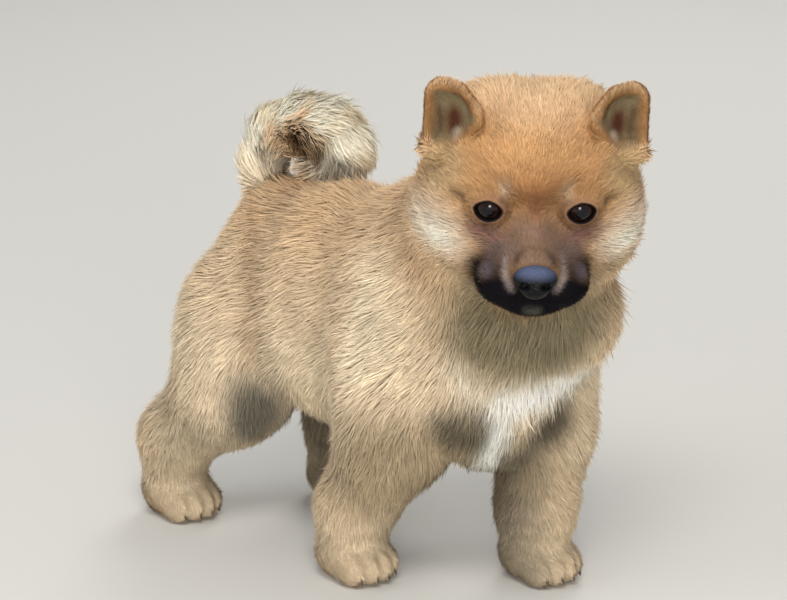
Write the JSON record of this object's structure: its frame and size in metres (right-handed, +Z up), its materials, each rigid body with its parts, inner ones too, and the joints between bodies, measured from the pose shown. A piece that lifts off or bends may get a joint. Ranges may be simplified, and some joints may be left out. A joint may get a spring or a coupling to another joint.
{
  "type": "shiba inu puppy",
  "caption": "Life-size standing shiba inu puppy with a plush red-sesame coat, curled tail and its head turned to its right, as a still museum model",
  "frame": {"origin": "middle of the footprint's bounding box, on the floor", "axes": "+Z up, the dog faces -Y, its left side is +X"},
  "size_m": [0.1338, 0.2908, 0.2593],
  "materials": {
    "coat": "plush fur, sandy tan with cream tips",
    "pale_fur": "short pale fur",
    "mask_fur": "short charcoal fur",
    "nose_leather": "moist black nose leather",
    "eye": "glossy dark eye"
  },
  "bodies": {
    "root": {"chest": "coat", "belly": "coat", "rump": "coat", "front_right_leg": "coat", "front_right_paw": "pale_fur", "front_left_leg": "coat", "front_left_paw": "pale_fur", "hind_right_thigh": "coat", "hind_right_leg": "coat", "hind_right_paw": "pale_fur", "hind_left_thigh": "coat", "hind_left_leg": "coat", "hind_left_paw": "pale_fur", "neck": "coat", "head": "coat", "muzzle": "mask_fur", "nose": "nose_leather", "eye_left": "eye", "eye_right": "eye", "ear_left": "coat", "ear_right": "coat", "tail_root": "coat", "tail_curl": "coat", "tail_tip": "coat"}
  },
  "joints": []
}
